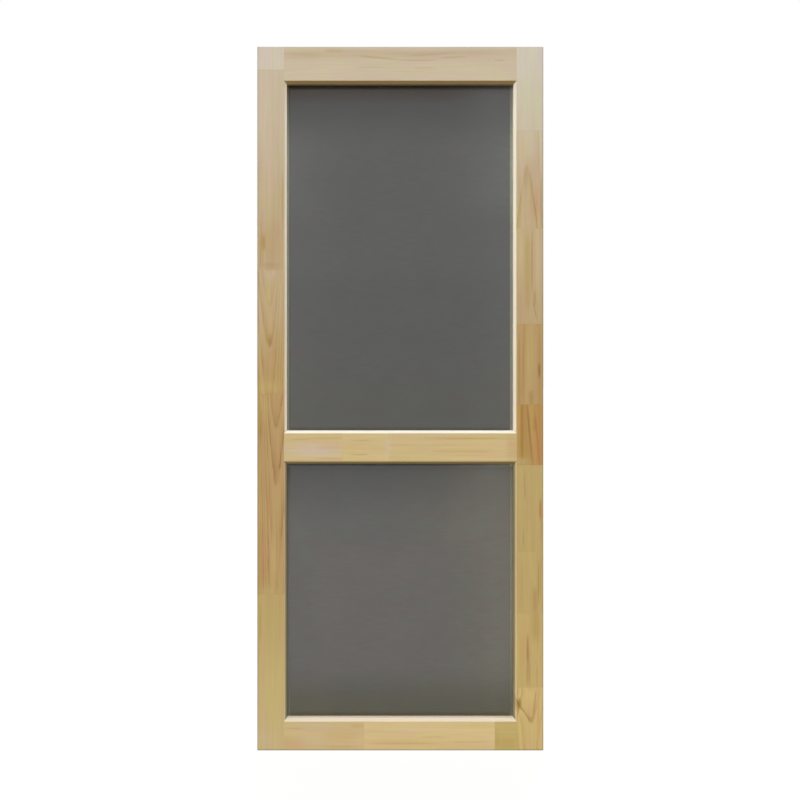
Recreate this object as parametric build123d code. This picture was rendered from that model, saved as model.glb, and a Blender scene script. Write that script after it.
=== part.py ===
from build123d import *
import os

# Unpainted pine screen door leaf, in millimetres. X runs across the leaf from the outer edge of
# the left stile, Y runs from front to back with 0 at mid-thickness, and Z is up from the bottom.
# Two stiles run the full height. Three rails are tenoned between them. Stiles and rails are
# finger-jointed from short blocks, which are glued end to end. Each opening has a bevelled edge
# in front and a rabbet behind, where four mitred mouldings hold the screen.

# Whole leaf
DOOR_WIDTH = 813.0
DOOR_HEIGHT = 1998.0
DOOR_THICKNESS = 28.6
ARRIS_RADIUS = 1.5  # the eased outer edges of the stiles

# Face widths of the members, and where the mid rail's face starts
STILE_FACE = 76.0
TOP_RAIL_FACE = 96.0
MID_RAIL_FACE = 80.0
BOTTOM_RAIL_FACE = 82.0
MID_RAIL_BOTTOM = 820.0

# The inner edge of every member: a bevel in front, then a square lip that the screen lies on
BEVEL_WIDTH = 7.0
BEVEL_DEPTH = 7.0
LIP_DEPTH = 9.0
RABBET_COVER = 14.0  # how far the rabbet runs in behind the lip

# Screens and the mouldings that hold them
SCREEN_THICKNESS = 0.5
SCREEN_MARGIN = 3.0  # from the screen's cut edge to the rabbet's wall
MOULDING_WIDTH = 22.0
MOULDING_THICKNESS = 11.0
MOULDING_ROUND = 5.0

# Tenons, which are as long and as thick on all three rails
TENON_LENGTH = 45.0
TENON_THICKNESS = 9.5
TENON_SHOULDER = 20.0  # from the rail's face edge to the tenon's edge
MORTISE_SPARE = 2.0  # room for glue past the tenon's end

# Finger joints: teeth across the thickness, between a straight shoulder at each face
FINGER_COUNT = 7
FINGER_LENGTH = 10.0
FINGER_SHOULDER = 1.9
FINGER_TIP = 0.9

# Heights of the finger joints: up from the bottom of the leaf, and down from its top
LEFT_JOINTS_UP = [444.0, 1012.0]
LEFT_JOINTS_DOWN = [633.0, 65.0]
RIGHT_JOINTS_UP = [179.0, 390.0, 563.5, 810.5, 982.0]
RIGHT_JOINTS_DOWN = [787.0, 515.0, 238.0]

# Finger joints of the rails: in from the left edge of the leaf, and in from its right edge
MID_JOINTS_IN = [241.0, 374.0]
BOTTOM_JOINTS_IN = [303.0]
BOTTOM_JOINTS_BACK = [138.0]

# Places that follow from the sizes above
FRONT = -DOOR_THICKNESS / 2
BACK = DOOR_THICKNESS / 2
SCREEN_FRONT = FRONT + BEVEL_DEPTH + LIP_DEPTH
SCREEN_BACK = SCREEN_FRONT + SCREEN_THICKNESS
RIGHT_STILE_START = DOOR_WIDTH - STILE_FACE
MID_RAIL_TOP = MID_RAIL_BOTTOM + MID_RAIL_FACE
TOP_RAIL_BOTTOM = DOOR_HEIGHT - TOP_RAIL_FACE
CLEAR = 20.0  # how far a cutter runs past what it cuts

# Each opening where it breaks the front face: low x, low z, high x, high z
OPENINGS = {
    "upper": (STILE_FACE, MID_RAIL_TOP, RIGHT_STILE_START, TOP_RAIL_BOTTOM),
    "lower": (STILE_FACE, BOTTOM_RAIL_FACE, RIGHT_STILE_START, MID_RAIL_BOTTOM),
}

# Bottom and top of each rail's face
RAIL_SPANS = {
    "bottom_rail": (0.0, BOTTOM_RAIL_FACE),
    "mid_rail": (MID_RAIL_BOTTOM, MID_RAIL_TOP),
    "top_rail": (TOP_RAIL_BOTTOM, DOOR_HEIGHT),
}


def inset(rectangle, distance):
    """The rectangle with every side moved inwards by the distance."""
    x0, z0, x1, z1 = rectangle
    return (x0 + distance, z0 + distance, x1 - distance, z1 - distance)


def corners(rectangle):
    """The four corners of a rectangle in the plane of the door, in order."""
    x0, z0, x1, z1 = rectangle
    return [(x0, z0), (x1, z0), (x1, z1), (x0, z1)]


def face_at(points, y):
    """A flat face in the plane of the door at depth y, from (x, z) points."""
    return make_face(Polyline([(x, y, z) for x, z in points], close=True))


def plate(points, y0=FRONT - CLEAR, y1=BACK + CLEAR):
    """A plate with the outline of the (x, z) points, from depth y0 to depth y1."""
    return extrude(face_at(points, y0), amount=y1 - y0, dir=(0, 1, 0))


def block_between(low, high):
    """A box from its lowest to its highest corner."""
    size = [b - a for a, b in zip(low, high)]
    return Pos(*low) * Box(*size, align=(Align.MIN, Align.MIN, Align.MIN))


def opening_cutter(rectangle):
    """What is cut away for one opening: the bevel in front, the hole and the rabbet behind."""
    hole = inset(rectangle, BEVEL_WIDTH)
    rabbet = inset(hole, -RABBET_COVER)
    mouth = face_at(corners(rectangle), FRONT)
    throat = face_at(corners(hole), FRONT + BEVEL_DEPTH)
    return loft([mouth, throat], ruled=True) + plate(corners(hole)) + plate(corners(rabbet), SCREEN_FRONT)


def stile_outline(edge, start, into):
    """Outline of a stile from its outer edge to the start of the rails, with the bevelled edge of
    each opening ending in a mitre. into is the direction towards the middle of the leaf, 1 or -1."""
    points = [(edge, 0.0), (start, 0.0)]
    for name in ("lower", "upper"):
        _, z0, _, z1 = OPENINGS[name]
        nose = start + into * BEVEL_WIDTH
        points += [(start, z0), (nose, z0 + BEVEL_WIDTH), (nose, z1 - BEVEL_WIDTH), (start, z1)]
    return points + [(start, DOOR_HEIGHT), (edge, DOOR_HEIGHT)]


def rail_outline(bottom, top, bevel_below, bevel_above):
    """Outline of a rail between the stiles, mitred where it has a bevelled edge."""
    x0, x1 = STILE_FACE, RIGHT_STILE_START
    points = [(x0, bottom)]
    if bevel_below:
        points += [(x0 + BEVEL_WIDTH, bottom - BEVEL_WIDTH), (x1 - BEVEL_WIDTH, bottom - BEVEL_WIDTH)]
    points += [(x1, bottom), (x1, top)]
    if bevel_above:
        points += [(x1 - BEVEL_WIDTH, top + BEVEL_WIDTH), (x0 + BEVEL_WIDTH, top + BEVEL_WIDTH)]
    return points + [(x0, top)]


def tenon(bottom, top, reach):
    """One bar through the rail that stands out of both of its ends by the reach."""
    half = TENON_THICKNESS / 2
    return block_between(
        (STILE_FACE - reach, -half, bottom + TENON_SHOULDER),
        (RIGHT_STILE_START + reach, half, top - TENON_SHOULDER),
    )


def finger_line(place):
    """Points (y, place) of a finger joint from the front face to the back face: a straight
    shoulder at each face and sloping teeth with flat tips between them."""
    pitch = (DOOR_THICKNESS - 2 * FINGER_SHOULDER) / FINGER_COUNT
    slope = pitch / 2 - FINGER_TIP
    points = [(FRONT - CLEAR, place)]
    for i in range(FINGER_COUNT):
        y = FRONT + FINGER_SHOULDER + i * pitch
        points += [
            (y, place),
            (y + slope, place + FINGER_LENGTH),
            (y + slope + FINGER_TIP, place + FINGER_LENGTH),
            (y + 2 * slope + FINGER_TIP, place),
        ]
    return points + [(BACK + CLEAR, place)]


def cut_line(place):
    """Points of a plain square end."""
    return [(FRONT - CLEAR, place), (BACK + CLEAR, place)]


def split_at_fingers(member, joints, low, high, upright):
    """The blocks of a member, cut apart at its finger joints, from its low end to its high end."""
    lines = [cut_line(low)] + [finger_line(place) for place in joints] + [cut_line(high)]
    reach = DOOR_WIDTH + DOOR_HEIGHT
    blocks = []
    for first, second in zip(lines, lines[1:]):
        outline = first + second[::-1]
        if upright:
            points = [(-CLEAR, y, s) for y, s in outline]
            direction = (1, 0, 0)
        else:
            points = [(s, y, -CLEAR) for y, s in outline]
            direction = (0, 0, 1)
        prism = extrude(make_face(Polyline(points, close=True)), amount=reach, dir=direction)
        blocks.append(member & prism)
    return blocks


def stile(edge, start, into):
    """A whole stile before it is cut into its blocks."""
    section = Rectangle(DOOR_WIDTH, DOOR_THICKNESS, align=(Align.MIN, Align.CENTER))
    bar = extrude(section, amount=DOOR_HEIGHT)
    outer_edges = bar.edges().filter_by(Axis.Z)
    bar = fillet(outer_edges, ARRIS_RADIUS)
    body = bar & plate(stile_outline(edge, start, into))
    for rectangle in OPENINGS.values():
        body -= opening_cutter(rectangle)
    for bottom, top in RAIL_SPANS.values():
        body -= tenon(bottom, top, TENON_LENGTH + MORTISE_SPARE)
    return body


def rail(name):
    """A whole rail with its two tenons, before it is cut into its blocks."""
    bottom, top = RAIL_SPANS[name]
    outline = rail_outline(bottom, top, name != "bottom_rail", name != "top_rail")
    body = plate(outline, FRONT, BACK)
    for rectangle in OPENINGS.values():
        body -= opening_cutter(rectangle)
    return body + tenon(bottom, top, TENON_LENGTH)


def screen(rectangle):
    """The sheet of screen cloth between the lip and the mouldings."""
    sheet = inset(rectangle, BEVEL_WIDTH - RABBET_COVER + SCREEN_MARGIN)
    return plate(corners(sheet), SCREEN_FRONT, SCREEN_BACK)


def mouldings(rectangle):
    """The four mitred mouldings of one opening, by side, each rounded along its inner back edge."""
    outer = inset(rectangle, BEVEL_WIDTH - RABBET_COVER)
    inner = inset(outer, MOULDING_WIDTH)
    back = SCREEN_BACK + MOULDING_THICKNESS
    ring = plate(corners(outer), SCREEN_BACK, back) - plate(corners(inner), SCREEN_BACK, back)
    back_face = ring.faces().sort_by(Axis.Y)[-1]
    ring = fillet(back_face.inner_wires()[0].edges(), MOULDING_ROUND)
    out, come = corners(outer), corners(inner)
    sides = {"bottom": 0, "right": 1, "top": 2, "left": 3}
    return {
        side: ring & plate([out[i], out[(i + 1) % 4], come[(i + 1) % 4], come[i]])
        for side, i in sides.items()
    }


def build():
    """Every piece of the leaf by name."""
    pieces = {}
    left_joints = LEFT_JOINTS_UP + [DOOR_HEIGHT - down for down in LEFT_JOINTS_DOWN]
    right_joints = RIGHT_JOINTS_UP + [DOOR_HEIGHT - down for down in RIGHT_JOINTS_DOWN]
    stiles = {
        "left_stile": (stile(0.0, STILE_FACE, 1), left_joints),
        "right_stile": (stile(DOOR_WIDTH, RIGHT_STILE_START, -1), right_joints),
    }
    for name, (member, joints) in stiles.items():
        blocks = split_at_fingers(member, joints, 0.0, DOOR_HEIGHT, True)
        for i, block in enumerate(blocks):
            pieces[f"{name}_block_{i + 1}"] = block

    low, high = STILE_FACE - TENON_LENGTH, RIGHT_STILE_START + TENON_LENGTH
    bottom_joints = BOTTOM_JOINTS_IN + [DOOR_WIDTH - back for back in BOTTOM_JOINTS_BACK]
    for name, joints in (("bottom_rail", bottom_joints), ("mid_rail", MID_JOINTS_IN)):
        blocks = split_at_fingers(rail(name), joints, low, high, False)
        for i, block in enumerate(blocks):
            pieces[f"{name}_block_{i + 1}"] = block
    pieces["top_rail"] = rail("top_rail")

    for name, rectangle in OPENINGS.items():
        pieces[f"{name}_screen"] = screen(rectangle)
        for side, bar in mouldings(rectangle).items():
            pieces[f"{name}_moulding_{side}"] = bar
    return pieces


os.makedirs("parts", exist_ok=True)
for piece_name, shape in build().items():
    export_step(shape, f"parts/{piece_name}.step")
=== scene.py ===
"""Finishes a pine screen door leaf: solid wood grain on every finger-jointed block, woven screens,
the pins of the mouldings, and a plain studio. Lengths are in metres, and in millimetres where a
name or a comment says so."""

import math
from collections import namedtuple

import bpy
import numpy as np
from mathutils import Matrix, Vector


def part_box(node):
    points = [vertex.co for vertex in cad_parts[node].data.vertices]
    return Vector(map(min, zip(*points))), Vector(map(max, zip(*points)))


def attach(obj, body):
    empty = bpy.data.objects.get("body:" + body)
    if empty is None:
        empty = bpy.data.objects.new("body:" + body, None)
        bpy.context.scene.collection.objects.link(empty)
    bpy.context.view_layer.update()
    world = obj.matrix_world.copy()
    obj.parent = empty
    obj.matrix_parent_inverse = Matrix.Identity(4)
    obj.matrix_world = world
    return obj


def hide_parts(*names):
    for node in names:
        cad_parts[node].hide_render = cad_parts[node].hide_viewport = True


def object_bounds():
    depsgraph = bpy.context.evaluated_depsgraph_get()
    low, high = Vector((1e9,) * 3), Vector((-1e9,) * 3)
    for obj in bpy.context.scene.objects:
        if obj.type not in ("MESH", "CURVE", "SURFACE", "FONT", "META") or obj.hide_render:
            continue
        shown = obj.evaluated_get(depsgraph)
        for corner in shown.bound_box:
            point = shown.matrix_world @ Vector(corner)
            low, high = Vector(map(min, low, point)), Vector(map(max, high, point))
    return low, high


bl_info = {
    "name": "Pine screen door",
    "version": (1, 0, 0),
    "blender": (4, 5, 0),
    "location": "View3D > Sidebar > Screen door",
    "description": "Finishes a finger-jointed pine screen door leaf and its studio",
    "category": "Object",
}

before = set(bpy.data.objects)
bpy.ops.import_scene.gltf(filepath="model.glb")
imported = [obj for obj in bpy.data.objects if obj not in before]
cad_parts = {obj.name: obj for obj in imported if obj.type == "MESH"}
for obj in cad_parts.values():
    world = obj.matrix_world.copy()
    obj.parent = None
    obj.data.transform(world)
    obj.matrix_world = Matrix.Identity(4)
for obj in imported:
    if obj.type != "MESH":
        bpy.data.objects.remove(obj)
CAD_LOW, CAD_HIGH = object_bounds()
BODY = "root"
MM = 1000.0  # millimetres in a metre
WIDTH_MM, HEIGHT_MM = (CAD_HIGH.x - CAD_LOW.x) * MM, (CAD_HIGH.z - CAD_LOW.z) * MM
FRONT_MM = CAD_LOW.y * MM

# The leaf's edges and the point that the camera stands opposite, in pixels of the photograph
PHOTO_SIDE = 800
LEAF_LEFT_PX, LEAF_RIGHT_PX = 257.2, 543.5
LEAF_BOTTOM_PX = 750.4
EYE_X_PX, EYE_Y_PX = 359.0, 368.0
PIXEL = (CAD_HIGH.x - CAD_LOW.x) / (LEAF_RIGHT_PX - LEAF_LEFT_PX)

FLOOR_REACH = 30.0  # from the leaf's origin to the floor's sides

# Where the members' faces end, in millimetres
STILE_FACE = 76.0
BOTTOM_RAIL_TOP = 82.0
MID_RAIL_BOTTOM, MID_RAIL_TOP = 820.0, 900.0
TOP_RAIL_BOTTOM = HEIGHT_MM - 96.0

# The teeth of the finger joints, and half the width of their glue line where it fades out and where
# it is full, in millimetres
FINGERS = 7
FINGER_PITCH = 3.543
FINGER_SHOULDER = 1.9
FINGER_TIP = 0.9
FINGER_LENGTH = 10.0
GLUE_LINE = (0.55, 0.25)

PARTS = ("upper", "lower")
SIDES = ("left", "right", "bottom", "top")
MEMBERS = ("left_stile", "right_stile", "bottom_rail", "mid_rail", "top_rail")
SEED_STEP = 7  # between the noise of one piece and the next
MOULDING_SEED = 300


def tone_property(name, colour, note):
    """A colour, written as it looks on screen."""
    return bpy.props.FloatVectorProperty(
        name=name, description=note, subtype="COLOR_GAMMA", size=3, min=0.0, max=1.0, default=colour
    )


def length_property(name, metres, note):
    """A length in metres."""
    return bpy.props.FloatProperty(
        name=name, description=note, subtype="DISTANCE", unit="LENGTH", precision=5, default=metres
    )


def number_property(name, value, note):
    """A plain number."""
    return bpy.props.FloatProperty(name=name, description=note, default=value)


class WoodSettings(bpy.types.PropertyGroup):
    """The tones of the pine. A tint multiplies the wood that it lies on."""

    frost: tone_property("Frost", (0.804, 0.775, 0.702), "Palest sapwood, greyish green")
    ash: tone_property("Ash", (0.784, 0.741, 0.647), "Pale greyish sapwood")
    chalk: tone_property("Chalk", (0.808, 0.757, 0.690), "Palest sapwood, pinkish grey")
    pale: tone_property("Pale", (0.776, 0.718, 0.615), "Pale sapwood of the top rail")
    cream: tone_property("Cream", (0.773, 0.710, 0.616), "Pale sapwood")
    sand: tone_property("Sand", (0.737, 0.651, 0.502), "Dull pale brown wood")
    drab: tone_property("Drab", (0.718, 0.625, 0.460), "Dull brown wood")
    honey: tone_property("Honey", (0.784, 0.694, 0.506), "Bright yellow wood")
    straw: tone_property("Straw", (0.765, 0.665, 0.442), "Warm yellow wood")
    wheat: tone_property("Wheat", (0.725, 0.631, 0.412), "Yellow brown wood")
    amber: tone_property("Amber", (0.706, 0.588, 0.396), "Reddish brown heartwood")
    russet: tone_property("Russet", (0.710, 0.569, 0.341), "Darkest heartwood")
    moss: tone_property("Moss", (0.757, 0.675, 0.424), "Greenish yellow wood")
    blush: tone_property("Blush", (0.780, 0.702, 0.604), "Pinkish patches")
    latewood: tone_property("Latewood", (0.79, 0.66, 0.52), "Tint of the dark rings")
    olive: tone_property("Olive", (0.88, 0.83, 0.60), "Tint of yellowish streaks and rings")
    umber: tone_property("Umber", (0.84, 0.76, 0.65), "Tint of brown streaks")
    rust: tone_property("Rust", (0.93, 0.76, 0.62), "Tint of reddish streaks")
    resin: tone_property("Resin", (0.70, 0.54, 0.32), "Tint of resin")
    knot: tone_property("Knot", (0.72, 0.69, 0.52), "Tint of the knot")
    rosy: tone_property("Rosy", (1.0, 0.978, 0.985), "Tint of faint pinkish patches")
    sallow: tone_property("Sallow", (0.989, 0.998, 0.958), "Tint of faint greenish patches")
    # The outer edges of the leaf are tinted darker and greyer
    outer_edge_tint: tone_property("Outer_edges", (0.81, 0.84, 0.90), "Tint of the outer edges")
    glue: tone_property("Glue line", (0.96, 0.94, 0.905), "Tint of the glue in the finger joints")
    # Painted highlights: the inner bevels and lips that face sideways and up are lit up in these
    # tones
    bevel_highlight: tone_property("Highlight", (0.890, 0.860, 0.782), "The pale, freshly moulded inner edges")
    mid_rail_highlight: tone_property("Fresh middle", (0.872, 0.858, 0.808), "The middle rail's upper edge")
    bottom_rail_highlight: tone_property("Fresh foot", (0.798, 0.745, 0.664), "The bottom rail's inner edge")
    # Painted shade on the lower edges of the top and middle rails, which face down
    top_underside_shade: tone_property("Under top", (0.96, 0.88, 0.69), "Tint of the top rail's lower edge")
    mid_underside_shade: tone_property("Under middle", (0.88, 0.87, 0.81), "The same for the middle rail")
    shaded: tone_property("Shaded", (0.63, 0.63, 0.60), "Tint along the lower opening's sides")


class ScreenSettings(bpy.types.PropertyGroup):
    """The woven screens."""

    warp_pitch: length_property("Warp pitch", 0.0254 / 18, "Between two upright strands")
    weft_pitch: length_property("Weft pitch", 0.0254 / 16, "Between two level strands")
    strand: length_property("Strand", 0.00030, "Thickness of one strand")
    strand_tone: tone_property("Strand tone", (0.37, 0.37, 0.365), "Charcoal of the coated strands")
    # The hazes' charcoal is partly the cloth's own and partly painted shade: nearly opaque, it
    # stands in for the dark space seen through the mesh
    upper_haze: tone_property("Upper haze", (0.338, 0.340, 0.336), "Charcoal of the upper cloth")
    lower_haze: tone_property("Lower haze", (0.394, 0.388, 0.372), "Charcoal of the lower cloth")
    right_haze: tone_property("Right haze", (0.458, 0.435, 0.378), "The same on its right")
    belt: tone_property("Belt", (0.436, 0.413, 0.392), "The same across its middle")
    dust: tone_property("Dust", (0.350, 0.330, 0.200), "The dusty foot of a screen")
    # Painted brown shadow of the top rail at the upper screen's head, on its haze and its strands
    head_shadow_tint: tone_property("Shadow", (0.97, 0.66, 0.30), "Tint of the haze at the upper screen's head")
    strand_head_shadow: tone_property("Strand smoke", (0.915, 0.872, 0.81), "The same for the strands")
    # The rims are the mouldings' wood seen through the cloth, with painted light on it
    lit_rim: tone_property("Rim", (0.72, 0.73, 0.69), "The upper cloth on its side mouldings")
    lit_left_rim: tone_property("Left rim", (0.51, 0.50, 0.465), "The lower cloth's on the left")
    lit_right_rim: tone_property("Right rim", (0.64, 0.61, 0.52), "The lower cloth's on the right")
    warm: tone_property("Warm", (1.0, 0.977, 0.97), "Tint of faint warm patches")
    cool: tone_property("Cool", (0.977, 1.0, 0.98), "Tint of faint cool patches")
    # Painted light at the sides of the screens
    painted_side_light: number_property("Side glow", 0.50, "How much lighter the upper one is at its sides")
    lower_painted_side_light: number_property("Lower side glow", 0.32, "The same for the lower screen")
    head_shade: number_property("Head shade", 0.84, "How much darker the upper screen's head is")
    lower_head_shade: number_property("Lower head shade", 0.55, "The same for the lower screen")
    foot_shade: number_property("Foot shade", 0.24, "How much darker the upper screen's foot is")
    lower_foot_shade: number_property("Lower foot shade", 0.14, "The same for the lower screen")
    # Painted light on the lower cloth where it lies on its top moulding
    painted_head_light: number_property("Head glow", 2.5, "Glow of the lower cloth on its top moulding")
    haze_cover: number_property("Haze cover", 0.955, "How much a cloth hides of what is far behind")
    side_cover: number_property("Side cover", 0.46, "The same of the upper side mouldings")
    lower_side_cover: number_property("Lower side cover", 0.80, "The same of the lower ones")
    end_cover: number_property("End cover", 0.90, "The same of the top and bottom mouldings")


class PinSettings(bpy.types.PropertyGroup):
    """The pins that hold the mouldings."""

    spacing: length_property("Spacing", 0.15, "Between two pins along a moulding")
    corner: length_property("From corner", 0.04, "From a moulding's end to its first pin")
    inset: length_property("Inset", 0.009, "From a moulding's outer edge to its pins")
    head: length_property("Head", 0.0022, "Width of a pin's head")
    rise: length_property("Rise", 0.0004, "Height of the head above the wood")
    steel: tone_property("Steel", (0.56, 0.55, 0.53), "Dull pin heads")


class StageSettings(bpy.types.PropertyGroup):
    """Camera, lamps, floor and backdrop."""

    distance: length_property("Distance", 1.7, "From the camera to the front of the leaf")
    ambient: number_property("Ambient", 0.50, "Light from all round")
    top_lamp: number_property("Top lamp", 2.25, "Strength of the high lamp")
    left_lamp: number_property("Left lamp", 2.3, "Strength of the lamp on the left")
    right_lamp: number_property("Right lamp", 1.5, "Strength of the lamp on the right")
    back_lamp: number_property("Back lamp", 2.2, "Strength of the lamp behind the leaf")
    floor_tone: tone_property("Floor", (0.93, 0.93, 0.925), "The pale floor")
    floor_bounce: tone_property("Floor bounce", (0.42, 0.42, 0.42), "The same as it lights the leaf")
    floor_glow: number_property("Floor glow", 0.80, "How much of the floor reads as plain white")


SETTINGS = {
    "door_wood": WoodSettings,
    "door_screens": ScreenSettings,
    "door_pins": PinSettings,
    "door_stage": StageSettings,
}


def linear(tone):
    """The light of a tone on screen: ((c + 0.055) / 1.055) ** 2.4, or c / 12.92 where it is dark."""
    return tuple(c / 12.92 if c <= 0.04045 else ((c + 0.055) / 1.055) ** 2.4 for c in tone)


# The sockets of a Mix node that mixes colours
MIX_SHARE, MIX_FIRST, MIX_SECOND, MIX_RESULT = 0, 6, 7, 2


class Wire:
    """One socket of a node tree. Arithmetic on wires adds Math nodes, and node() adds any other."""

    def __init__(self, tree, socket=None):
        self.tree = tree
        self.socket = socket

    def node(self, kind, settings=None, inputs=None, out=0):
        """Adds a node of a type: first its settings, then the values or links of its sockets."""
        made = self.tree.nodes.new(kind)
        for name, value in (settings or {}).items():
            setattr(made, name, value)
        for name, value in (inputs or {}).items():
            if isinstance(value, Wire):
                self.tree.links.new(value.socket, made.inputs[name])
            else:
                made.inputs[name].default_value = value
        return Wire(self.tree, made.outputs[out] if len(made.outputs) else None)

    def math(self, operation, *values):
        """A Math node on this wire and the other values."""
        inputs = dict(enumerate((self, *values)))
        return self.node("ShaderNodeMath", {"operation": operation}, inputs)

    def __add__(self, other):
        return self.math("ADD", other)

    __radd__ = __add__

    def __sub__(self, other):
        return self.math("SUBTRACT", other)

    def __rsub__(self, other):
        return self.node("ShaderNodeMath", {"operation": "SUBTRACT"}, {0: other, 1: self})

    def __mul__(self, other):
        return self.math("MULTIPLY", other)

    __rmul__ = __mul__

    def __truediv__(self, other):
        return self.math("DIVIDE", other)

    def __pow__(self, other):
        return self.math("POWER", other)

    def __abs__(self):
        return self.math("ABSOLUTE")

    def rise(self, low, high):
        """A smooth rise from 0 at low to 1 at high. Where low is above high, it is a fall."""
        falls = low > high
        settings = {"interpolation_type": "SMOOTHSTEP"}
        inputs = {"Value": self, "From Min": min(low, high), "From Max": max(low, high)}
        inputs["To Min"] = float(falls)
        inputs["To Max"] = float(not falls)
        return self.node("ShaderNodeMapRange", settings, inputs)

    def span(self, low, high):
        """This share from 0 to 1, stretched to run from low to high."""
        return self * (high - low) + low

    def mix(self, blend, share, first, second):
        """A Mix node of two colours, by a share of the second."""
        settings = {"data_type": "RGBA", "blend_type": blend}
        inputs = {MIX_SHARE: share, MIX_FIRST: colour(first), MIX_SECOND: colour(second)}
        return self.node("ShaderNodeMix", settings, inputs, out=MIX_RESULT)

    def between(self, first, second):
        """The colour between two others, where this wire is the share of the second."""
        return self.mix("MIX", self, first, second)

    def toward(self, share, tone):
        """This colour drawn towards a tone by a share."""
        return self.mix("MIX", share, self, tone)

    def tint(self, share, tone):
        """This colour with a share of a tint multiplied in."""
        return self.mix("MULTIPLY", share, self, tone)

    def lit(self, share):
        """This colour made lighter or darker by a share."""
        return self.node("ShaderNodeVectorMath", {"operation": "SCALE"}, {0: self, "Scale": share})


def colour(value):
    """A wire as it is, or the light of a tone with its alpha."""
    return value if isinstance(value, Wire) else (*linear(value), 1.0)


def finished(name, shader_of):
    """A new material whose surface is what shader_of makes from its empty tree."""
    material = bpy.data.materials.new(name)
    material.use_nodes = True
    material.node_tree.nodes.clear()
    tree = Wire(material.node_tree)
    tree.node("ShaderNodeOutputMaterial", None, {"Surface": shader_of(tree)})
    return material


def object_place(tree):
    """The place on the leaf as three wires, in millimetres."""
    spot = tree.node("ShaderNodeTexCoord", None, None, out="Object")
    return [tree.node("ShaderNodeSeparateXYZ", None, {0: spot}, out=axis) * MM for axis in range(3)]


def noise(tree, places, stretch, seed):
    """Noise from 0 to 1 at three places, where stretch gives the size of its patches along each."""
    at = [place / size for place, size in zip(places, stretch)]
    spot = tree.node("ShaderNodeCombineXYZ", None, {0: at[0] + seed, 1: at[1], 2: at[2]})
    return tree.node("ShaderNodeTexNoise", None, {"Vector": spot, "Scale": 1.0, "Detail": 2.0})


def noises(tree, places, table, steps, seed=0):
    """The noises of a table at three places, by their names. Those that steps names are drawn apart:
    they are 0 up to the first of its two values, and 1 from the second."""
    wave = {name: noise(tree, places, size, seed + shift) for name, (*size, shift) in table.items()}
    return wave | {name: wave[name].rise(*ends) for name, ends in steps.items()}


def unevenness(wave, shares):
    """The light that noises add where they are above a half and take where they are below it."""
    return sum((wave[name] - 0.5) * share for name, share in shares.items())


def band(place, start, full, still, end):
    """1 from full to still, with a smooth rise from start and a smooth fall to end."""
    return place.rise(start, full) * place.rise(end, still)


# A streak: its middle across and along the grain, its half widths across and along, its strength,
# its tone and how far it leans across for each millimetre along. Lengths are in millimetres. These
# tones tint the wood, and any other draws it towards itself.
TINTS = ("latewood", "olive", "umber", "rust", "resin")
Streak = namedtuple(
    "Streak", "across along half_across half_along strength tone lean", defaults=("umber", 0.0)
)

# A knot: its middle across and along the grain, its radius, and how far it pushes the rings apart
Knot = namedtuple("Knot", "across along radius push")

# How one board grows. foot and head are the tones of its two ends, and shade makes both lighter or
# darker. The pith lies at across, and deep millimetres behind the front face at the crest, which is
# crest millimetres up from the board's foot. Away from the crest it comes nearer to the face by bow
# for each 100 mm squared, which draws the rings into points on the face. lean moves it across for
# each millimetre along. ring is the width of a year, uneven how many years' width it may wander by,
# late the strength of the dark rings, tint their tone, sway how far they wave and ripple how far
# they tremble. crowd adds years with the square of the distance to one side of the pith, the upper
# or right one where it is above 0. Each of the streaks is given by the values of a Streak.
Grain = namedtuple(
    "Grain",
    "foot head across deep crest bow lean ring uneven late tint sway ripple crowd shade"
    " streaks knots",
    defaults=(0.0, 0.0, 0.0, 4.5, 2.2, 0.10, "latewood", 4.0, 1.2, 0.0, 1.0, (), ()),
)

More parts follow.
